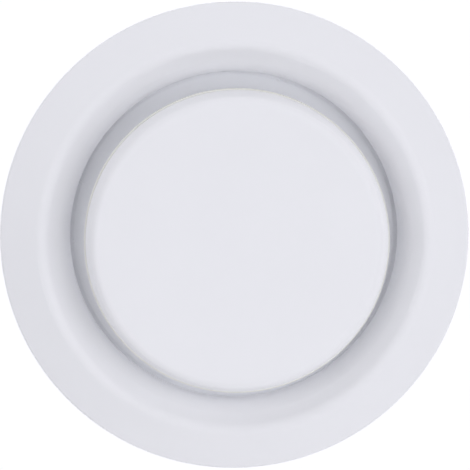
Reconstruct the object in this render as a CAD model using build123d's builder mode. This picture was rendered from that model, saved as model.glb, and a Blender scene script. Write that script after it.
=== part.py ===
"""Ventilation disc valve for a round duct, with the mounting collar that it pushes into.

The wall surface is the XZ plane, +Y runs into the duct and +Z is up, so the valve's face looks along -Y.
Sections are drawn as (radius, depth) beside the Y axis. A negative depth is in front of the wall.
"""

import os
from math import atan2, cos, degrees, hypot, pi, radians, sin, tan

from build123d import *

os.makedirs("parts", exist_ok=True)

# Duct and collar
duct_bore = 125.0
spigot_play = 0.5
collar_gauge = 0.7
collar_depth = 42.0
collar_bend = 1.5
collar_lead_in = 1.2
collar_lead_length = 4.0
bead_height = 0.4
bead_half_width = 1.2
bead_bend = 1.2
bead_seal_gap = 0.3
screw_count = 4
screw_hole_radius = 2.1
screw_angle = 45.0
collar_flange_gap = 2.0

# Lip seal round the collar
seal_front_depth = 6.0
seal_base_width = 9.0
seal_base_thickness = 0.7
seal_lip_count = 2
seal_lip_height = 2.0
seal_lip_thickness = 0.6
seal_lip_sweep = 2.4

# Pressed face ring
sheet_gauge = 0.9
clip_room = 4.3
cone_width = 9.3
flange_width = 24.0
rim_gap = 0.3
rim_height = 2.1
rim_bend = 1.4
crest_height = 9.3
crest_bend = 4.0
cone_foot_height = 2.45
throat_bend = 9.5
nesting_length = 9.0

# Foam gasket behind the rim
gasket_width = 5.6
gasket_edge_gap = 0.5
glue_line = 0.03

# Throat sleeve, with the seat that the disc closes on
nesting_play = 0.05
seat_drop = 4.5
seat_width = 8.2
seat_bend = 1.2
seat_lip_bend = 1.3
seat_lip_length = 3.0
sleeve_depth = 34.0

# Tack welds in the groove between the ring and the sleeve
tack_angles = (74.0, 161.0, 182.0, 290.0)
tack_radius = 0.75

# Crossbar and its weld nut
bridge_gauge = 1.5
bridge_bend = 2.4
bridge_depth = 15.0
bridge_leg_inset = 4.0
bridge_arm_width = 18.0
bridge_pad_radius = 14.0
bridge_pad_fillet = 8.0
bridge_rib_width = 6.0
bridge_rib_height = 1.2
bridge_rib_margin = 8.0
bridge_rib_taper = 15.0
bridge_play = 0.05
nut_across_flats = 13.0
nut_height = 6.5
nut_chamfer = 0.7
nut_pilot_radius = 5.4

# Blind rivets
rivet_shank_radius = 1.6
rivet_head_radius = 2.8
rivet_head_height = 0.9
rivet_bulb_radius = 2.3
rivet_bulb_length = 2.4
rivet_play = 0.04
bridge_rivet_spread = 5.0

# Leaf springs that grip the collar
clip_angles = (90.0, 210.0, 330.0)
clip_gauge = 0.5
clip_width = 11.0
clip_rivet_margin = 0.95
clip_rear_inset = 1.5
clip_front_gap = 1.2
clip_tail_share = 0.23
clip_tail_rise = 0.9
clip_bend_share = 0.3
clip_play = 0.35

# Threaded spindle and what sits on it
spindle_radius = 4.0
thread_lead = 1.25
thread_play = 0.06
washer_play = 0.2
washer_radius = 8.0
washer_gauge = 1.6
stack_gap = 0.05
lock_nut_turn = 180.0
neck_radius = 3.0
neck_play = 0.2
circlip_radius = 5.6
circlip_gauge = 0.9
circlip_groove_depth = 0.5
circlip_relief_radius = 1.1
circlip_relief_angle = 120.0
circlip_play = 0.04
spindle_tail = 1.8
spindle_chamfer = 0.6

# Disc
disc_gap = 5.4
disc_height = 25.4
disc_crown = 0.5
disc_edge_radius = 3.0
disc_taper = 2.1
disc_lip_bend = 1.5
disc_lip_length = 2.4
disc_skirt_edge = 14.5
boss_flange_radius = 15.0
boss_flange_thickness = 1.5
boss_radius = 7.0
boss_length = 10.0
boss_fillet = 1.2
boss_floor = 1.0
boss_play = 0.03

# Edge seal pushed on to the disc's skirt
edge_seal_wall = 0.5
edge_seal_floor = 1.0
edge_seal_reach = 2.0
edge_seal_play = 0.03
edge_seal_round = 0.35

# Travel that is left for the disc to screw out, from the place where it is shown
opening_travel = 12.0
stop_clearance = 0.4

# Radii that follow from the duct
spigot_radius = duct_bore / 2 - spigot_play
collar_bore_radius = spigot_radius - collar_gauge
throat_radius = collar_bore_radius - clip_room
crest_radius = throat_radius + cone_width
rim_radius = throat_radius + flange_width
gasket_outer_radius = rim_radius - sheet_gauge - gasket_edge_gap
gasket_inner_radius = gasket_outer_radius - gasket_width
collar_flange_radius = gasket_inner_radius - collar_flange_gap
screw_circle_radius = (spigot_radius + collar_flange_radius) / 2
sleeve_radius = throat_radius - nesting_play
sleeve_bore_radius = sleeve_radius - sheet_gauge
seat_radius = sleeve_radius - seat_width
bridge_radius = sleeve_bore_radius - bridge_play
disc_radius = throat_radius - disc_gap

# Depths that follow from each other
cone_slope = atan2(crest_height - cone_foot_height, cone_width)
throat_depth = throat_bend * tan((pi / 2 - cone_slope) / 2) - cone_foot_height
seat_depth = throat_depth + seat_drop
nesting_depth = throat_depth + nesting_length
bridge_rear_depth = bridge_depth + bridge_gauge
bridge_leg_depth = sleeve_depth - bridge_leg_inset
bridge_rivet_depth = (bridge_depth + bridge_bend + bridge_leg_depth) / 2
clip_base_depth = sleeve_depth - clip_rear_inset
clip_rivet_depth = clip_base_depth - clip_rivet_margin - rivet_head_radius
bridge_nut_depth = bridge_rear_depth + nut_height
lock_washer_depth = bridge_nut_depth + stack_gap
lock_nut_depth = lock_washer_depth + washer_gauge + stack_gap
lock_nut_rear_depth = lock_nut_depth + nut_height
lock_nut_travel = thread_lead * lock_nut_turn / 360
stop_washer_depth = lock_nut_rear_depth + lock_nut_travel + stop_clearance + opening_travel
circlip_depth = stop_washer_depth + washer_gauge + stack_gap
spindle_rear_depth = circlip_depth + circlip_gauge + spindle_tail
disc_back_height = disc_height - sheet_gauge
boss_seat_height = disc_back_height - disc_crown * (boss_flange_radius / disc_radius) ** 2 - glue_line
edge_seal_height = disc_skirt_edge - edge_seal_play - edge_seal_floor


def radial_plane(angle):
    """The plane through the Y axis at an angle up from +X. Its x is the radius and its y is the depth."""
    turn = radians(angle)
    return Plane(origin=(0, 0, 0), x_dir=(cos(turn), 0, sin(turn)), z_dir=(-sin(turn), 0, cos(turn)))


def across(depth):
    """The plane square to the axis at a depth. Extruding from it goes deeper into the duct."""
    return Plane(origin=(0, depth, 0), x_dir=(1, 0, 0), z_dir=(0, 1, 0))


def facing(angle, depth):
    """The plane square to a radius, on the Y axis at a depth. Extruding from it goes outwards."""
    turn = radians(angle)
    return Plane(origin=(0, depth, 0), x_dir=(0, 1, 0), z_dir=(cos(turn), 0, sin(turn)))


def sheet_section(points, bends, gauge, side):
    """Section of a bent sheet. One skin follows the points, with a bend radius at each corner."""
    with BuildSketch() as section:
        with BuildLine():
            FilletPolyline(*points, radius=bends)
            offset(amount=gauge, side=side)
        make_face()
    return section.sketch


def straight_section(points):
    """Closed section with straight sides."""
    with BuildSketch() as section:
        with BuildLine():
            Polyline(*points, close=True)
        make_face()
    return section.sketch


def rivet_bores(places):
    """Drills from the axis outwards, one for each (angle, depth)."""
    with BuildPart() as bores:
        for angle, depth in places:
            with BuildSketch(facing(angle, depth)):
                Circle(rivet_shank_radius + rivet_play)
            extrude(amount=rim_radius)
    return bores.part


def blind_rivets(places, inner_face, outer_face):
    """Blind rivets: a low domed head outside, a shank through the sheets and a crushed bulb inside."""
    head = outer_face + rivet_play
    bulb = (inner_face**2 - rivet_bulb_radius**2) ** 0.5 - rivet_play
    with BuildPart() as group:
        for angle, depth in places:
            plane = radial_plane(angle)
            with BuildSketch(plane):
                with BuildLine():
                    Polyline(
                        (head + rivet_head_height, depth),
                        (bulb - rivet_bulb_length, depth),
                        (bulb - rivet_bulb_length, depth + rivet_shank_radius),
                        (bulb - rivet_bulb_length / 2, depth + rivet_bulb_radius),
                        (bulb, depth + rivet_bulb_radius),
                        (bulb, depth + rivet_shank_radius),
                        (head, depth + rivet_shank_radius),
                        (head, depth + rivet_head_radius),
                    )
                    TangentArc(
                        (head + rivet_head_height, depth),
                        (head, depth + rivet_head_radius),
                        tangent=(0, 1),
                    )
                make_face()
            revolve(axis=Axis((0, depth, 0), plane.x_dir))
    return group.part


def hex_nut(depth, bore_radius):
    """A chamfered hexagon nut on the Y axis, from a depth inwards."""
    flat_radius = nut_across_flats / 2
    corner_radius = flat_radius / cos(radians(30))
    rear = depth + nut_height
    with BuildPart() as nut:
        with BuildSketch(across(depth)):
            RegularPolygon(radius=flat_radius, side_count=6, major_radius=False)
            Circle(bore_radius, mode=Mode.SUBTRACT)
        extrude(amount=nut_height)
        with BuildSketch(Plane.XY):
            add(
                straight_section(
                    [
                        (0, depth),
                        (flat_radius, depth),
                        (corner_radius, depth + nut_chamfer),
                        (corner_radius, rear - nut_chamfer),
                        (flat_radius, rear),
                        (0, rear),
                    ]
                )
            )
        revolve(axis=Axis.Y, mode=Mode.INTERSECT)
    return nut.part


# Mounting collar: a galvanised spigot with two rolled beads that keep its seal in place, and a flange
# that is screwed to the wall round the duct
front_bead_depth = seal_front_depth - bead_seal_gap - bead_half_width
rear_bead_depth = seal_front_depth + seal_base_width + bead_seal_gap + bead_half_width
bead_points = [
    (spigot_radius + rise, bead_depth + step)
    for bead_depth in (front_bead_depth, rear_bead_depth)
    for rise, step in ((0, -bead_half_width), (bead_height, 0), (0, bead_half_width))
]
with BuildPart() as mounting_collar:
    with BuildSketch(Plane.XY):
        add(
            sheet_section(
                [
                    (collar_flange_radius, 0),
                    (spigot_radius, 0),
                    *bead_points,
                    (spigot_radius, collar_depth - collar_lead_length),
                    (spigot_radius - collar_lead_in, collar_depth),
                ],
                [collar_bend] + [bead_bend] * len(bead_points) + [collar_lead_length],
                collar_gauge,
                Side.LEFT,
            )
        )
    revolve(axis=Axis.Y)
    with BuildSketch(across(-collar_gauge)):
        with PolarLocations(screw_circle_radius, screw_count, start_angle=screw_angle):
            Circle(screw_hole_radius)
    extrude(amount=collar_gauge, mode=Mode.SUBTRACT)
mounting_collar.part.label = "mounting_collar"

# Lip seal: a rubber band stretched round the spigot, with lips that lean towards the wall
seal_bore_radius = spigot_radius + glue_line
seal_band_radius = seal_bore_radius + seal_base_thickness
seal_lip_radius = seal_band_radius + seal_lip_height
seal_lip_root = seal_band_radius - seal_base_thickness / 2
seal_lip_pitch = seal_base_width / (seal_lip_count + 1)
with BuildPart() as collar_lip_seal:
    with BuildSketch(Plane.XY):
        with Locations((seal_bore_radius, seal_front_depth)):
            Rectangle(seal_base_thickness, seal_base_width, align=(Align.MIN, Align.MIN))
        for lip in range(1, seal_lip_count + 1):
            root_depth = seal_front_depth + lip * seal_lip_pitch
            tip_depth = root_depth - seal_lip_sweep
            add(
                straight_section(
                    [
                        (seal_lip_root, root_depth),
                        (seal_lip_radius, tip_depth),
                        (seal_lip_radius, tip_depth + seal_lip_thickness),
                        (seal_lip_root, root_depth + 2 * seal_lip_thickness),
                    ]
                )
            )
    revolve(axis=Axis.Y)
collar_lip_seal.part.label = "collar_lip_seal"

# Face ring: one pressed sheet, from the rim over the crest and down the cone, which rolls into the throat
with BuildPart() as face_ring:
    with BuildSketch(Plane.XY):
        add(
            sheet_section(
                [
                    (rim_radius, -rim_gap),
                    (rim_radius, -rim_height),
                    (crest_radius, -crest_height),
                    (throat_radius, -cone_foot_height),
                    (throat_radius, nesting_depth),
                ],
                [rim_bend, crest_bend, throat_bend],
                sheet_gauge,
                Side.RIGHT,
            )
        )
    revolve(axis=Axis.Y)
face_ring.part.label = "face_ring"

# Rim gasket: closed-cell foam, glued under the sloping flange and pressed flat on the wall
flange_slope = (crest_height - rim_height) / (rim_radius - crest_radius)
skin_height = rim_height - (sheet_gauge + glue_line) * hypot(1, flange_slope)
gasket_outer_height = skin_height + (rim_radius - gasket_outer_radius) * flange_slope
gasket_inner_height = skin_height + (rim_radius - gasket_inner_radius) * flange_slope
with BuildPart() as rim_gasket:
    with BuildSketch(Plane.XY):
        add(
            straight_section(
                [
                    (gasket_inner_radius, 0),
                    (gasket_outer_radius, 0),
                    (gasket_outer_radius, -gasket_outer_height),
                    (gasket_inner_radius, -gasket_inner_height),
                ]
            )
        )
    revolve(axis=Axis.Y)
rim_gasket.part.label = "rim_gasket"

# Throat sleeve: a tube nested in the face ring, its front turned in to make the seat
bridge_rivet_swing = degrees(bridge_rivet_spread / bridge_radius)
bridge_rivet_places = [
    (side + swing, bridge_rivet_depth)
    for side in (0, 180)
    for swing in (-bridge_rivet_swing, bridge_rivet_swing)
]
clip_rivet_places = [(angle, clip_rivet_depth) for angle in clip_angles]
bridge_rivet_bores = rivet_bores(bridge_rivet_places)
clip_rivet_bores = rivet_bores(clip_rivet_places)
with BuildPart() as throat_sleeve:
    with BuildSketch(Plane.XY):
        add(
            sheet_section(
                [
                    (seat_radius, seat_depth + seat_lip_length),
                    (seat_radius, seat_depth),
                    (sleeve_radius, seat_depth),
                    (sleeve_radius, sleeve_depth),
                ],
                [seat_lip_bend, seat_bend],
                sheet_gauge,
                Side.LEFT,
            )
        )
    revolve(axis=Axis.Y)
    tack_place = (sleeve_radius - tack_radius, seat_depth + tack_radius / 2)
    for angle in tack_angles:
        with Locations(radial_plane(angle).from_local_coords(tack_place)):
            Sphere(tack_radius)
    add(bridge_rivet_bores, mode=Mode.SUBTRACT)
    add(clip_rivet_bores, mode=Mode.SUBTRACT)
throat_sleeve.part.label = "throat_sleeve"

# Crossbar: a pressed bridge across the sleeve, with ribbed arms, a round pad and legs that hug the bore
rib_front = bridge_pad_radius
rib_length = bridge_radius - bridge_rib_margin - rib_front
rib_middle = rib_front + rib_length / 2
with BuildPart() as crossbar:
    with BuildSketch(Plane.XY):
        add(
            sheet_section(
                [(0, bridge_depth), (bridge_radius, bridge_depth), (bridge_radius, bridge_leg_depth)],
                [bridge_bend],
                bridge_gauge,
                Side.LEFT,
            )
        )
    revolve(axis=Axis.Y)
    with BuildSketch(across(bridge_depth)) as bridge_outline:
        Rectangle(2 * bridge_radius, bridge_arm_width)
        Circle(bridge_pad_radius)
        arm_corners = bridge_outline.vertices().filter_by(lambda corner: abs(corner.X) < bridge_pad_radius)
        fillet(arm_corners, radius=bridge_pad_fillet)
    extrude(amount=bridge_leg_depth - bridge_depth, mode=Mode.INTERSECT)
    with BuildSketch(across(bridge_depth)):
        with Locations((rib_middle, 0), (-rib_middle, 0)):
            SlotOverall(rib_length, bridge_rib_width)
    extrude(amount=-bridge_rib_height, taper=bridge_rib_taper)
    with BuildSketch(across(bridge_rear_depth)):
        with Locations((rib_middle, 0), (-rib_middle, 0)):
            SlotOverall(rib_length - 2 * bridge_gauge, bridge_rib_width - 2 * bridge_gauge)
    extrude(amount=-bridge_rib_height, mode=Mode.SUBTRACT)
    with BuildSketch(across(bridge_depth)):
        Circle(nut_pilot_radius + bridge_play)
    extrude(amount=bridge_gauge, mode=Mode.SUBTRACT)
    add(bridge_rivet_bores, mode=Mode.SUBTRACT)
crossbar.part.label = "crossbar"

# Crossbar rivets: a pair through each leg
crossbar_rivets = blind_rivets(bridge_rivet_places, bridge_radius - bridge_gauge, sleeve_radius)
crossbar_rivets.label = "crossbar_rivets"

# Bridge nut: a weld nut behind the pad, with a pilot through it
bridge_nut_blank = hex_nut(bridge_rear_depth, spindle_radius + thread_play)
with BuildPart() as bridge_nut:
    add(bridge_nut_blank)
    with BuildSketch(across(bridge_depth)):
        Circle(nut_pilot_radius)
        Circle(spindle_radius + thread_play, mode=Mode.SUBTRACT)
    extrude(amount=bridge_gauge)
bridge_nut.part.label = "bridge_nut"

# Spring clips: leaf springs riveted behind the sleeve, bowed out against the collar
clip_foot_radius = sleeve_radius + glue_line
clip_crown_radius = collar_bore_radius - clip_play
clip_bow_rear = clip_rivet_depth - clip_rivet_margin - rivet_head_radius
clip_tail_depth = nesting_depth + clip_front_gap
clip_bow_front = clip_tail_depth + clip_tail_share * (clip_bow_rear - clip_tail_depth)
clip_span = degrees(clip_width / clip_foot_radius)
clip_section = sheet_section(
    [
        (clip_foot_radius, clip_base_depth),
        (clip_foot_radius, clip_bow_rear),
        (clip_crown_radius, (clip_bow_rear + clip_bow_front) / 2),
        (clip_foot_radius, clip_bow_front),
        (clip_foot_radius + clip_tail_rise, clip_tail_depth),
    ],
    [clip_bend_share * (clip_bow_rear - clip_bow_front)] * 3,
    clip_gauge,
    Side.LEFT,
)
spring_clips = []
for number, angle in enumerate(clip_angles, start=1):
    with BuildPart() as spring_clip:
        with BuildSketch(radial_plane(angle + clip_span / 2)):
            add(clip_section)
        revolve(axis=Axis.Y, revolution_arc=clip_span)
        add(clip_rivet_bores, mode=Mode.SUBTRACT)
    spring_clip.part.label = f"spring_clip_{number}"
    spring_clips.append(spring_clip)

# Clip rivets: one through the foot of each spring
clip_rivets = blind_rivets(clip_rivet_places, sleeve_bore_radius, clip_foot_radius + clip_gauge)
clip_rivets.label = "clip_rivets"

# Lock washer: lies loose on the spindle between the bridge nut and the lock nut
with BuildPart() as lock_washer:
    with BuildSketch(across(lock_washer_depth)):
        Circle(washer_radius)
        Circle(spindle_radius + washer_play, mode=Mode.SUBTRACT)
    extrude(amount=washer_gauge)
lock_washer.part.label = "lock_washer"

# Lock nut: tightened on the washer, it fixes the disc where it is set
lock_nut = hex_nut(lock_nut_depth, spindle_radius + thread_play)
lock_nut.label = "lock_nut"

# Stop washer: trapped on the spindle's neck, it keeps the disc from being screwed right out
with BuildPart() as stop_washer:
    with BuildSketch(across(stop_washer_depth)):
        Circle(washer_radius)
        Circle(neck_radius + neck_play, mode=Mode.SUBTRACT)
    extrude(amount=washer_gauge)
stop_washer.part.label = "stop_washer"

# Spindle circlip: an open clip in the neck's groove, with three lobes that bear on the groove
groove_radius = neck_radius - circlip_groove_depth
lobe_radius = groove_radius + circlip_play
with BuildPart() as spindle_circlip:
    with BuildSketch(across(circlip_depth)):
        Circle(circlip_radius)
        Circle(lobe_radius, mode=Mode.SUBTRACT)
        Rectangle(circlip_radius, 2 * groove_radius, align=(Align.MIN, Align.CENTER), mode=Mode.SUBTRACT)
        for relief_angle in (circlip_relief_angle, -circlip_relief_angle):
            with PolarLocations(lobe_radius, 1, start_angle=relief_angle):
                Circle(circlip_relief_radius, mode=Mode.SUBTRACT)
    extrude(amount=circlip_gauge)
spindle_circlip.part.label = "spindle_circlip"

# Disc pan: a pressed cup with a slightly crowned front, a rounded edge, a tapered skirt and a straight lip
with BuildPart() as disc_pan:
    with BuildSketch(Plane.XY):
        with BuildLine():
            disc_corner = (disc_radius - disc_taper, disc_crown - disc_height)
            disc_lip_front = (disc_radius, -disc_skirt_edge - disc_lip_length)
            TangentArc((0, -disc_height), disc_corner, tangent=(1, 0))
            Polyline(disc_corner, disc_lip_front, (disc_radius, -disc_skirt_edge))
            fillet(vertices().sort_by_distance(disc_corner)[0], radius=disc_edge_radius)
            fillet(vertices().sort_by_distance(disc_lip_front)[0], radius=disc_lip_bend)
            offset(amount=sheet_gauge, side=Side.LEFT)
        make_face()
    revolve(axis=Axis.Y)
disc_pan.part.label = "disc_pan"

# Disc seal: a pale rubber channel pushed on to the pan's lip
skirt_inner_radius = disc_radius - sheet_gauge - edge_seal_play
with BuildPart() as disc_seal:
    with BuildSketch(Plane.XY):
        seal_outer_radius = disc_radius + edge_seal_play + edge_seal_wall
        seal_inner_radius = skirt_inner_radius - edge_seal_wall
        seal_front_height = edge_seal_height + edge_seal_floor + edge_seal_reach
        with Locations((seal_inner_radius, -seal_front_height)):
            Rectangle(
                seal_outer_radius - seal_inner_radius,
                edge_seal_reach + edge_seal_floor,
                align=(Align.MIN, Align.MIN),
            )
        with Locations((skirt_inner_radius, -seal_front_height)):
            Rectangle(
                disc_radius + edge_seal_play - skirt_inner_radius,
                edge_seal_reach,
                align=(Align.MIN, Align.MIN),
                mode=Mode.SUBTRACT,
            )
        fillet(vertices().group_by(Axis.X)[-1], radius=edge_seal_round)
    revolve(axis=Axis.Y)
disc_seal.part.label = "disc_seal"

# Disc boss: a flanged bush welded behind the disc, which the spindle is fixed in
boss_front_depth = -boss_seat_height
boss_bore_depth = boss_front_depth + boss_floor
with BuildPart() as disc_boss:
    with BuildSketch(across(boss_front_depth)):
        Circle(boss_flange_radius)
    extrude(amount=boss_flange_thickness)
    with BuildSketch(across(boss_front_depth)):
        Circle(boss_radius)
    extrude(amount=boss_length)
    boss_rims = edges().filter_by(GeomType.CIRCLE).filter_by(lambda rim: rim.radius == boss_radius)
    fillet(boss_rims.sort_by(Axis.Y)[0], radius=boss_fillet)
    with BuildSketch(across(boss_bore_depth)):
        Circle(spindle_radius + boss_play)
    extrude(amount=boss_length, mode=Mode.SUBTRACT)
disc_boss.part.label = "disc_boss"

# Spindle: a threaded rod that turns with the disc, with a neck and a groove at its tail
spindle_front_depth = boss_bore_depth + boss_play
circlip_rear_depth = circlip_depth + circlip_gauge + circlip_play
with BuildPart() as spindle:
    with BuildSketch(Plane.XY):
        add(
            straight_section(
                [
                    (0, spindle_front_depth),
                    (spindle_radius - spindle_chamfer, spindle_front_depth),
                    (spindle_radius, spindle_front_depth + spindle_chamfer),
                    (spindle_radius, stop_washer_depth - stack_gap),
                    (neck_radius, stop_washer_depth - stack_gap),
                    (neck_radius, circlip_depth - circlip_play),
                    (groove_radius, circlip_depth - circlip_play),
                    (groove_radius, circlip_rear_depth),
                    (neck_radius, circlip_rear_depth),
                    (neck_radius, spindle_rear_depth - spindle_chamfer),
                    (neck_radius - spindle_chamfer, spindle_rear_depth),
                    (0, spindle_rear_depth),
                ]
            )
        )
    revolve(axis=Axis.Y)
spindle.part.label = "spindle"

turned_and_pressed = [mounting_collar, collar_lip_seal, face_ring, rim_gasket, throat_sleeve, crossbar]
fittings = [bridge_nut, lock_washer, stop_washer, spindle_circlip, disc_pan, disc_seal, disc_boss, spindle]
pieces = [builder.part for builder in turned_and_pressed + fittings + spring_clips]
for piece in pieces + [crossbar_rivets, clip_rivets, lock_nut]:
    export_step(piece, f"parts/{piece.label}.step")
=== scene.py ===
"""Ventilation disc valve in its mounting collar: camera, studio, finishes, seam, spindle thread and disc.

The valve's axis is Y, its face looks along -Y and +Z is up. Lengths are in metres.
"""

from math import cos, pi, radians, sin

import bmesh
import bpy
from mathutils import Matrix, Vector


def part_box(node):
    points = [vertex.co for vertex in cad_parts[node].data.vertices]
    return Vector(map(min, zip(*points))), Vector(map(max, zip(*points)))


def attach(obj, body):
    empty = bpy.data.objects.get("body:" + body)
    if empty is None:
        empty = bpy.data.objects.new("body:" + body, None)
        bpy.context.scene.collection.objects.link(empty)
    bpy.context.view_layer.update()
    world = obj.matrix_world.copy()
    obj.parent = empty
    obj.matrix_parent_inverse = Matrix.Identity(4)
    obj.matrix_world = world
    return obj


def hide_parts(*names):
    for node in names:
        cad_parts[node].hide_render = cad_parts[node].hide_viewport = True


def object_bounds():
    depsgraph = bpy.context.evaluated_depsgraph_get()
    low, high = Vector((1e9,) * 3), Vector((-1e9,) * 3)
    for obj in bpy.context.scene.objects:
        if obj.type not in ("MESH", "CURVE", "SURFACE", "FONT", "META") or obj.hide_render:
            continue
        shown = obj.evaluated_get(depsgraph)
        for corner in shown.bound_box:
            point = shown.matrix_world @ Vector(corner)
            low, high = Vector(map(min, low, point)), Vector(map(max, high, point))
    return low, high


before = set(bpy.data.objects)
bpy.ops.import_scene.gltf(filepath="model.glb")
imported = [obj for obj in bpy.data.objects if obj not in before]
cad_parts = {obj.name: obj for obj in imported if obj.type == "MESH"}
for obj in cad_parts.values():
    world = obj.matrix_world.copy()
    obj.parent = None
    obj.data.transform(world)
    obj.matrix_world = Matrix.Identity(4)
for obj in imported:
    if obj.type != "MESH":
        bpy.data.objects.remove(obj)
cad_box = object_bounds()
scene = bpy.context.scene


# Camera: a long lens, almost square on to the face, from a little above and to the left. The valve fills
# the square picture.
def place_facing(thing, target, direction, distance):
    """Puts a camera or light that far from its target in the given direction, turned to face it."""
    thing.location = target + direction * distance
    thing.rotation_euler = (-direction).to_track_quat("-Z", "Y").to_euler()
    scene.collection.objects.link(thing)


camera_distance = 1.0
camera_azimuth = radians(-2.7)
camera_elevation = radians(6.3)
camera_lens = 221.5
camera_aim = Vector((0.0, 0.0, 0.00045))

towards_camera = Vector(
    (
        sin(camera_azimuth) * cos(camera_elevation),
        -cos(camera_azimuth) * cos(camera_elevation),
        sin(camera_elevation),
    )
)
camera = bpy.data.objects.new("camera", bpy.data.cameras.new("camera"))
camera.data.lens = camera_lens
place_facing(camera, camera_aim, towards_camera, camera_distance)
scene.camera = camera


# Studio: a white tent that is lit at its sides and most of all behind the valve, a soft box on each side of
# the camera, two high up, and a pale floor well below the picture, which fades out before the tent's wall.
def add_node(tree, kind, sockets=None, **settings):
    """A new node. Each named input is linked if it is given a socket, and set if it is given a value."""
    node = tree.nodes.new(kind)
    for name, value in settings.items():
        setattr(node, name, value)
    for name, value in (sockets or {}).items():
        if isinstance(value, bpy.types.NodeSocket):
            tree.links.new(value, node.inputs[name])
        else:
            node.inputs[name].default_value = value
    return node


light_colour = (0.959, 0.96, 1.0)
tent_seen = 1.05
# Each wall's direction, and the strength of its light in the middle.
tent_walls = (((1.0, 0.0, 0.0), 0.83), ((-1.0, 0.0, 0.0), 0.41), ((0.0, 1.0, 0.0), 1.64))
box_distance = 0.9
box_size = 0.6
# Each box's name, degrees off the valve's axis, degrees turned from the right-hand side, and watts.
box_lights = (
    ("box_right", 30.0, 0.0, 2.58),
    ("box_left", 30.0, 180.0, 2.02),
    ("box_high", 70.0, 90.0, 1.66),
    ("box_high_left", 70.0, 135.0, 1.27),
)
floor_drop = 0.2
floor_half_width = 0.55
floor_fade = (0.28, 0.54)
floor_grey = (0.82, 0.82, 0.82)
floor_roughness = 0.85

scene.view_settings.view_transform = "Standard"
scene.cycles.use_denoising = True

tent = bpy.data.worlds.new("white_tent")
tent.use_nodes = True
scene.world = tent
tent_direction = add_node(tent.node_tree, "ShaderNodeTexCoord").outputs["Generated"]
tent_light = 0.0
for wall, strength in tent_walls:
    facing = add_node(
        tent.node_tree, "ShaderNodeVectorMath", {0: tent_direction, 1: wall}, operation="DOT_PRODUCT"
    )
    wall_light = add_node(
        tent.node_tree, "ShaderNodeMapRange", {"Value": facing.outputs["Value"], "To Max": strength}
    )
    tent_light = add_node(
        tent.node_tree, "ShaderNodeMath", {0: tent_light, 1: wall_light.outputs["Result"]}, operation="ADD"
    ).outputs["Value"]
tent_strength = add_node(
    tent.node_tree,
    "ShaderNodeMix",
    {
        "Factor": add_node(tent.node_tree, "ShaderNodeLightPath").outputs["Is Camera Ray"],
        "A": tent_light,
        "B": tent_seen,
    },
)
tent_background = tent.node_tree.nodes["Background"]
tent_background.inputs["Color"].default_value = (*light_colour, 1.0)
tent.node_tree.links.new(tent_strength.outputs["Result"], tent_background.inputs["Strength"])

for box_name, off_axis, turned, power in box_lights:
    towards_box = Vector(
        (
            sin(radians(off_axis)) * cos(radians(turned)),
            -cos(radians(off_axis)),
            sin(radians(off_axis)) * sin(radians(turned)),
        )
    )
    box = bpy.data.objects.new(box_name, bpy.data.lights.new(box_name, "AREA"))
    box.data.color = light_colour
    box.data.energy = power
    box.data.size = box_size
    place_facing(box, Vector(), towards_box, box_distance)

floor_level = cad_box[0].z - floor_drop
floor_mesh = bpy.data.meshes.new("floor")
floor_mesh.from_pydata(
    [
        (x * floor_half_width, y * floor_half_width, floor_level)
        for x, y in ((-1, -1), (1, -1), (1, 1), (-1, 1))
    ],
    [],
    [(0, 1, 2, 3)],
)
floor = bpy.data.objects.new("floor", floor_mesh)
scene.collection.objects.link(floor)

floor_paint = bpy.data.materials.new("floor_paint")
floor_paint.use_nodes = True
floor_shader = floor_paint.node_tree.nodes["Principled BSDF"]
floor_shader.inputs["Base Color"].default_value = (*floor_grey, 1.0)
floor_shader.inputs["Roughness"].default_value = floor_roughness
floor_reach = add_node(
    floor_paint.node_tree,
    "ShaderNodeVectorMath",
    {0: add_node(floor_paint.node_tree, "ShaderNodeTexCoord").outputs["Object"], 1: (0.0, 0.0, floor_level)},
    operation="DISTANCE",
)
floor_edge = add_node(
    floor_paint.node_tree,
    "ShaderNodeMapRange",
    {
        "Value": floor_reach.outputs["Value"],
        "From Min": floor_fade[0],
        "From Max": floor_fade[1],
        "To Min": 1.0,
        "To Max": 0.0,
    },
    interpolation_type="SMOOTHSTEP",
)
floor_paint.node_tree.links.new(floor_edge.outputs["Result"], floor_shader.inputs["Alpha"])
floor_mesh.materials.append(floor_paint)


# Mounting collar: a spigot and flange pressed from galvanised sheet, screwed to the wall round the duct. The
# zinc has large, soft-edged crystals, each with a grey of its own.
def new_finish(name, socket, value):
    """A material with one shader, with one plain socket set here: its metal or the strength of its gloss."""
    finish = bpy.data.materials.new(name)
    finish.use_nodes = True
    shader = finish.node_tree.nodes["Principled BSDF"]
    shader.inputs[socket].default_value = value
    return finish, finish.node_tree, shader


def new_effect(name, inputs, outputs):
    """A node group for an effect that several finishes share. Inputs are (name, kind, value)."""
    effect = bpy.data.node_groups.new(name, "ShaderNodeTree")
    for label, kind, value in inputs:
        socket = effect.interface.new_socket(label, in_out="INPUT", socket_type=f"NodeSocket{kind}")
        socket.default_value = value
    for label in outputs:
        effect.interface.new_socket(label, in_out="OUTPUT", socket_type="NodeSocketFloat")
    return effect, effect.nodes.new("NodeGroupInput"), effect.nodes.new("NodeGroupOutput")


def between(tree, mask, low, high):
    """A number that goes from low to high as the mask goes from 0 to 1."""
    spread = add_node(tree, "ShaderNodeMapRange", {"Value": mask, "To Min": low, "To Max": high})
    return spread.outputs["Result"]


def tint(tree, mask, dark, light):
    """A colour that goes from dark to light as the mask goes from 0 to 1."""
    dark_socket, light_socket, result_socket = 6, 7, 2
    mix = add_node(tree, "ShaderNodeMix", {"Factor": mask}, data_type="RGBA")
    mix.inputs[dark_socket].default_value = (*dark, 1.0)
    mix.inputs[light_socket].default_value = (*light, 1.0)
    return mix.outputs[result_socket]


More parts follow.
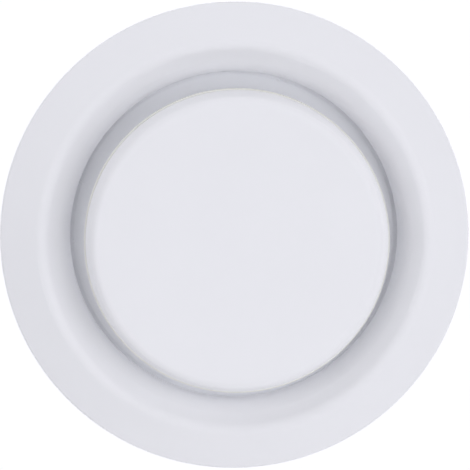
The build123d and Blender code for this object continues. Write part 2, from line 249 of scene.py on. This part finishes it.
def connect(tree, shader, colour, roughness, height, depth):
    """Gives a shader its colour, its roughness and a fine relief of that depth."""
    tree.links.new(colour, shader.inputs["Base Color"])
    tree.links.new(roughness, shader.inputs["Roughness"])
    bump = add_node(tree, "ShaderNodeBump", {"Height": height, "Distance": depth})
    tree.links.new(bump.outputs["Normal"], shader.inputs["Normal"])


def dress(finish, *nodes):
    """Gives CAD nodes their finish."""
    for node in nodes:
        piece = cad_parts[node]
        if not piece.material_slots:
            piece.data.materials.append(finish)
        for slot in piece.material_slots:
            slot.material = finish


grain_effect, grain_in, grain_out = new_effect(
    "surface_grain",
    [("Grains Per Metre", "Vector", (500.0, 500.0, 500.0)), ("Detail", "Float", 2.0)],
    ["Grain"],
)
grain_place = add_node(
    grain_effect,
    "ShaderNodeVectorMath",
    {
        0: add_node(grain_effect, "ShaderNodeTexCoord").outputs["Object"],
        1: grain_in.outputs["Grains Per Metre"],
    },
    operation="MULTIPLY",
)
grain_noise = add_node(
    grain_effect,
    "ShaderNodeTexNoise",
    {"Vector": grain_place.outputs["Vector"], "Scale": 1.0, "Detail": grain_in.outputs["Detail"]},
)
grain_effect.links.new(grain_noise.outputs["Fac"], grain_out.inputs["Grain"])


def grain(tree, per_metre, detail):
    """The shared grain, at that many grains a metre along X, Y and Z."""
    node = add_node(tree, "ShaderNodeGroup", node_tree=grain_effect)
    node.inputs["Grains Per Metre"].default_value = per_metre
    node.inputs["Detail"].default_value = detail
    return node.outputs["Grain"]


spangles_per_metre = 190.0
spangle_softness = 0.35
spangle_dark = (0.4, 0.42, 0.44)
spangle_light = (0.5, 0.52, 0.53)
spangle_dark_roughness = 0.47
spangle_light_roughness = 0.4
collar_grains_per_metre = (900.0, 900.0, 900.0)
collar_grain_detail = 2.0
collar_grain_depth = 0.000012

galvanised, galvanised_tree, galvanised_shader = new_finish("galvanised_spangle", "Metallic", 1.0)
spangles = add_node(
    galvanised_tree,
    "ShaderNodeTexVoronoi",
    {
        "Vector": add_node(galvanised_tree, "ShaderNodeTexCoord").outputs["Object"],
        "Scale": spangles_per_metre,
        "Smoothness": spangle_softness,
    },
    feature="SMOOTH_F1",
)
spangle_tone = add_node(
    galvanised_tree, "ShaderNodeSeparateColor", {"Color": spangles.outputs["Color"]}
).outputs["Red"]
connect(
    galvanised_tree,
    galvanised_shader,
    tint(galvanised_tree, spangle_tone, spangle_dark, spangle_light),
    between(galvanised_tree, spangle_tone, spangle_dark_roughness, spangle_light_roughness),
    grain(galvanised_tree, collar_grains_per_metre, collar_grain_detail),
    collar_grain_depth,
)
dress(galvanised, "mounting_collar")


# Lip seal: a band of black EPDM rubber stretched round the spigot. It is extruded, so fine lines run round it
# and it is a little greyer where it has been handled.
def grained_finish(name, constant, tones, gloss, depth):
    """A finish whose colour follows one grain, and whose roughness and fine relief follow another.

    constant is the shader's plain socket and its value. tones holds the grains a metre along X, Y and Z,
    their detail, and the dark and the light colour. gloss holds grains and detail of its own, and the lowest
    and the highest roughness.
    """
    finish, tree, shader = new_finish(name, *constant)
    tone_grains, tone_detail, dark, light = tones
    gloss_grains, gloss_detail, smoothest, roughest = gloss
    gloss_mask = grain(tree, gloss_grains, gloss_detail)
    connect(
        tree,
        shader,
        tint(tree, grain(tree, tone_grains, tone_detail), dark, light),
        between(tree, gloss_mask, smoothest, roughest),
        gloss_mask,
        depth,
    )
    return finish


epdm = grained_finish(
    "epdm_rubber",
    ("Specular IOR Level", 0.4),
    tones=((70.0, 70.0, 70.0), 3.0, (0.016, 0.016, 0.018), (0.042, 0.042, 0.045)),
    gloss=((60.0, 2600.0, 60.0), 4.0, 0.45, 0.7),
    depth=0.00004,
)
dress(epdm, "collar_lip_seal")


# Face ring: pressed steel sheet with a satin white powder coat, baked on. It has a cool tone, a faint orange
# peel and tiny specks of uneven gloss. The ring is the piece that the room sees, and the sleeve nests in it.
def powder_coat(name, dark, light):
    """A satin powder coat, whose tone wanders a little between two colours."""
    return grained_finish(
        name,
        ("Specular IOR Level", 0.4),
        tones=((38.0, 38.0, 38.0), 3.0, dark, light),
        gloss=((520.0, 520.0, 520.0), 1.5, 0.5, 0.62),
        depth=0.00001,
    )


powder = powder_coat("satin_powder_coat", (0.899, 0.9, 0.922), (0.92, 0.921, 0.942))
dress(powder, "face_ring")

# Throat sleeve: a steel tube with its front turned in as the seat, tacked into the ring. Its coat is painted
# a little greyer than on the face, as painted shade for the hollow behind the disc.
shaded_powder = powder_coat("shaded_powder_coat", (0.808, 0.816, 0.838), (0.839, 0.847, 0.868))
dress(shaded_powder, "throat_sleeve")


# Seam: the coat runs together in the narrow groove between the ring and the sleeve's rounded front, so the
# groove is filled almost level and shows as a fine line.
def new_ring(form, radius, depth, sides):
    """A ring of corners round the Y axis."""
    turns = [2 * pi * side / sides for side in range(sides)]
    return [form.verts.new((radius * cos(turned), depth, radius * sin(turned))) for turned in turns]


def join_rings(form, rings):
    """Lays a skin over rings of corners, each joined to the next."""
    for ring, next_ring in zip(rings, rings[1:]):
        for side in range(len(ring)):
            onward = (side + 1) % len(ring)
            form.faces.new((ring[side], ring[onward], next_ring[onward], next_ring[side]))


def new_piece(name, form, smooth_up_to, finish):
    """Makes a form into a piece, smooth except at edges that bend by more than that many degrees."""
    bmesh.ops.recalc_face_normals(form, faces=form.faces)
    mesh = bpy.data.meshes.new(name)
    form.to_mesh(mesh)
    form.free()
    for polygon in mesh.polygons:
        polygon.use_smooth = True
    mesh.set_sharp_from_angle(angle=radians(smooth_up_to))
    mesh.materials.append(finish)
    piece = bpy.data.objects.new(name, mesh)
    scene.collection.objects.link(piece)
    return piece


# Each step is how far the seam's skin lies inside the sleeve's outside and behind the seat's face.
seam_steps = (
    (-0.00015, 0.00024),
    (0.0003, 0.00024),
    (0.0005, 0.00018),
    (0.0007, 0.0001),
    (0.00095, 0.00004),
    (0.0006, 0.0007),
    (-0.00015, 0.001),
)
seam_sides = 240
seam_smooth_up_to = 40

sleeve_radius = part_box("throat_sleeve")[1].x
seat_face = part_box("throat_sleeve")[0].y
seam_form = bmesh.new()
seam_rings = [
    new_ring(seam_form, sleeve_radius - inwards, seat_face + deeper, seam_sides)
    for inwards, deeper in seam_steps
]
join_rings(seam_form, seam_rings + seam_rings[:1])
# The seam takes the sleeve's greyer coat, which is painted shade in the groove.
groove_seam = new_piece("groove_seam", seam_form, seam_smooth_up_to, shaded_powder)
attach(groove_seam, "valve")

# Rim gasket: a ring of grey closed-cell foam, glued under the rim and pressed on the wall. Its cut faces show
# the cells, and the darker grey in each cell's hollow is painted shade.
cells_per_metre = 1500.0
# The hollows' darker grey is painted shade inside each cell; the walls' grey is the foam's own.
shaded_cell_hollow = (0.2, 0.21, 0.23)
cell_wall = (0.36, 0.37, 0.39)
hollow_roughness = 0.95
wall_roughness = 0.75
cell_depth = 0.0003

foam, foam_tree, foam_shader = new_finish("closed_cell_foam", "Specular IOR Level", 0.2)
foam_cells = add_node(
    foam_tree,
    "ShaderNodeTexVoronoi",
    {"Vector": add_node(foam_tree, "ShaderNodeTexCoord").outputs["Object"], "Scale": cells_per_metre},
).outputs["Distance"]
connect(
    foam_tree,
    foam_shader,
    tint(foam_tree, foam_cells, shaded_cell_hollow, cell_wall),
    between(foam_tree, foam_cells, hollow_roughness, wall_roughness),
    foam_cells,
    cell_depth,
)
dress(foam, "rim_gasket")


# Crossbar: pressed from zinc-plated strip and riveted across the sleeve, to carry the spindle. The fine lines
# of rolling run along it under the bright plating.
def zinc_finish(name, lines_per_metre, line_depth):
    """Bright zinc plating over steel, which keeps the lines that rolling, turning or forging left in it."""
    return grained_finish(
        name,
        ("Metallic", 1.0),
        tones=((110.0, 110.0, 110.0), 4.0, (0.35, 0.37, 0.4), (0.48, 0.49, 0.51)),
        gloss=(lines_per_metre, 3.0, 0.24, 0.42),
        depth=line_depth,
    )


plated_strip = zinc_finish("zinc_plated_strip", (40.0, 1800.0, 1800.0), 0.000008)
dress(plated_strip, "crossbar")

# Rivets: blind rivets of aluminium, a pair through each leg of the crossbar and one through each spring clip.
# Their heads are bright from the setting tool.
rivet_grains_per_metre = (1400.0, 1400.0, 1400.0)
rivet_metal = grained_finish(
    "rivet_metal",
    ("Metallic", 1.0),
    tones=(rivet_grains_per_metre, 3.0, (0.52, 0.53, 0.54), (0.66, 0.67, 0.68)),
    gloss=(rivet_grains_per_metre, 3.0, 0.26, 0.46),
    depth=0.00001,
)
dress(rivet_metal, "crossbar_rivets", "clip_rivets")

# Nuts: the weld nut behind the crossbar's pad, which the spindle screws through, and the lock nut that holds
# the spindle where it is set. Both are forged and zinc plated.
plated_forging = zinc_finish("zinc_plated_forging", (700.0, 700.0, 700.0), 0.00001)
dress(plated_forging, "bridge_nut", "lock_nut")

# Washers and boss: the washers are stamped and the boss is turned, and all are zinc plated. The boss is welded
# behind the disc and holds the spindle.
plated_blank = zinc_finish("zinc_plated_blank", (300.0, 2200.0, 300.0), 0.000006)
dress(plated_blank, "lock_washer", "stop_washer", "disc_boss")

# Spring clips and circlip: hardened and tempered spring strip, darker than the plating, with drawing lines
# along its length.
drawing_lines_per_metre = (2000.0, 60.0, 2000.0)
spring_steel = grained_finish(
    "tempered_spring_steel",
    ("Metallic", 1.0),
    tones=(drawing_lines_per_metre, 3.0, (0.3, 0.31, 0.33), (0.46, 0.47, 0.49)),
    gloss=(drawing_lines_per_metre, 3.0, 0.24, 0.4),
    depth=0.000006,
)
dress(spring_steel, "spring_clip_1", "spring_clip_2", "spring_clip_3", "spindle_circlip")

# Spindle: a zinc-plated rod with a rolled M8 thread, turned down behind the thread to a neck that carries the
# stop washer, with a groove for the circlip. It is fixed in the boss and turns with the disc.
thread_pitch = 0.00125
thread_radius = 0.004
thread_root_radius = 0.00325
# Each step is a part of one pitch, and the thread's radius there.
thread_profile = (
    (0.0, thread_radius),
    (0.125, thread_radius),
    (0.4375, thread_root_radius),
    (0.6875, thread_root_radius),
)
neck_radius = 0.003
groove_radius = 0.0025
tail_chamfer = 0.0006
shoulder_gap = 0.00005
groove_play = 0.00004
spindle_sides = 48
spindle_smooth_up_to = 25
merge_distance = 0.000001

spindle_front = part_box("spindle")[0].y
spindle_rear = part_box("spindle")[1].y
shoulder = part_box("stop_washer")[0].y - shoulder_gap
groove_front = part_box("spindle_circlip")[0].y - groove_play
groove_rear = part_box("spindle_circlip")[1].y + groove_play

thread_rows = []
for turn in range(-1, int((shoulder - spindle_front) / thread_pitch) + 2):
    thread_rows += [(spindle_front + (turn + step) * thread_pitch, radius) for step, radius in thread_profile]
rows_per_turn = len(thread_profile)

spindle_form = bmesh.new()
thread_rings = []
for depth, radius in thread_rows:
    ring = []
    for side in range(spindle_sides):
        rise = thread_pitch * side / spindle_sides
        place = min(max(depth + rise, spindle_front), shoulder)
        end_radius = thread_root_radius + min(place - spindle_front, shoulder - place)
        reach = min(radius, end_radius)
        turned = 2 * pi * side / spindle_sides
        ring.append(spindle_form.verts.new((reach * cos(turned), place, reach * sin(turned))))
    thread_rings.append(ring)
for row in range(len(thread_rings) - 1):
    for side in range(spindle_sides - 1):
        spindle_form.faces.new(
            (
                thread_rings[row][side],
                thread_rings[row][side + 1],
                thread_rings[row + 1][side + 1],
                thread_rings[row + 1][side],
            )
        )
    if row + 1 + rows_per_turn < len(thread_rings):
        spindle_form.faces.new(
            (
                thread_rings[row][-1],
                thread_rings[row + rows_per_turn][0],
                thread_rings[row + 1 + rows_per_turn][0],
                thread_rings[row + 1][-1],
            )
        )
tail_steps = (
    (shoulder, thread_root_radius),
    (shoulder, neck_radius),
    (groove_front, neck_radius),
    (groove_front, groove_radius),
    (groove_rear, groove_radius),
    (groove_rear, neck_radius),
    (spindle_rear - tail_chamfer, neck_radius),
    (spindle_rear, neck_radius - tail_chamfer),
)
tail_rings = [new_ring(spindle_form, radius, depth, spindle_sides) for depth, radius in tail_steps]
join_rings(spindle_form, tail_rings)
spindle_form.faces.new(tail_rings[-1])
bmesh.ops.remove_doubles(spindle_form, verts=spindle_form.verts, dist=merge_distance)
bmesh.ops.dissolve_degenerate(spindle_form, edges=spindle_form.edges, dist=merge_distance)
bmesh.ops.holes_fill(spindle_form, edges=[edge for edge in spindle_form.edges if edge.is_boundary])
plated_thread = zinc_finish("zinc_plated_thread", (900.0, 900.0, 900.0), 0.000005)
spindle = new_piece("spindle_threaded", spindle_form, spindle_smooth_up_to, plated_thread)
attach(spindle, "disc")
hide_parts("spindle")

# Disc: one pressed sheet with the same coat as the ring. Its face bulges by half a millimetre and runs without
# a break over the middle, through the rounded edge and the tapered side to the turned lip.
disc_smooth_up_to = 30

disc_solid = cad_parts["disc_pan"].data
disc_form = bmesh.new()
disc_corners = [disc_form.verts.new(corner.co) for corner in disc_solid.vertices]
for face in disc_solid.polygons:
    disc_form.faces.new([disc_corners[corner] for corner in face.vertices])
bmesh.ops.remove_doubles(disc_form, verts=disc_form.verts, dist=merge_distance)
disc_sheet = new_piece("disc_sheet", disc_form, disc_smooth_up_to, powder)
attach(disc_sheet, "disc")
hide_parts("disc_pan")

# Disc seal: a channel of pale rubber pushed on to the lip of the disc, which closes on the seat. From the
# room it is a thin, slightly warm line behind the disc.
seal_grains_per_metre = (400.0, 400.0, 400.0)
pale_rubber = grained_finish(
    "pale_seal_rubber",
    ("Specular IOR Level", 0.3),
    tones=(seal_grains_per_metre, 3.0, (0.81, 0.805, 0.76), (0.885, 0.88, 0.83)),
    gloss=(seal_grains_per_metre, 3.0, 0.5, 0.68),
    depth=0.00002,
)
dress(pale_rubber, "disc_seal")
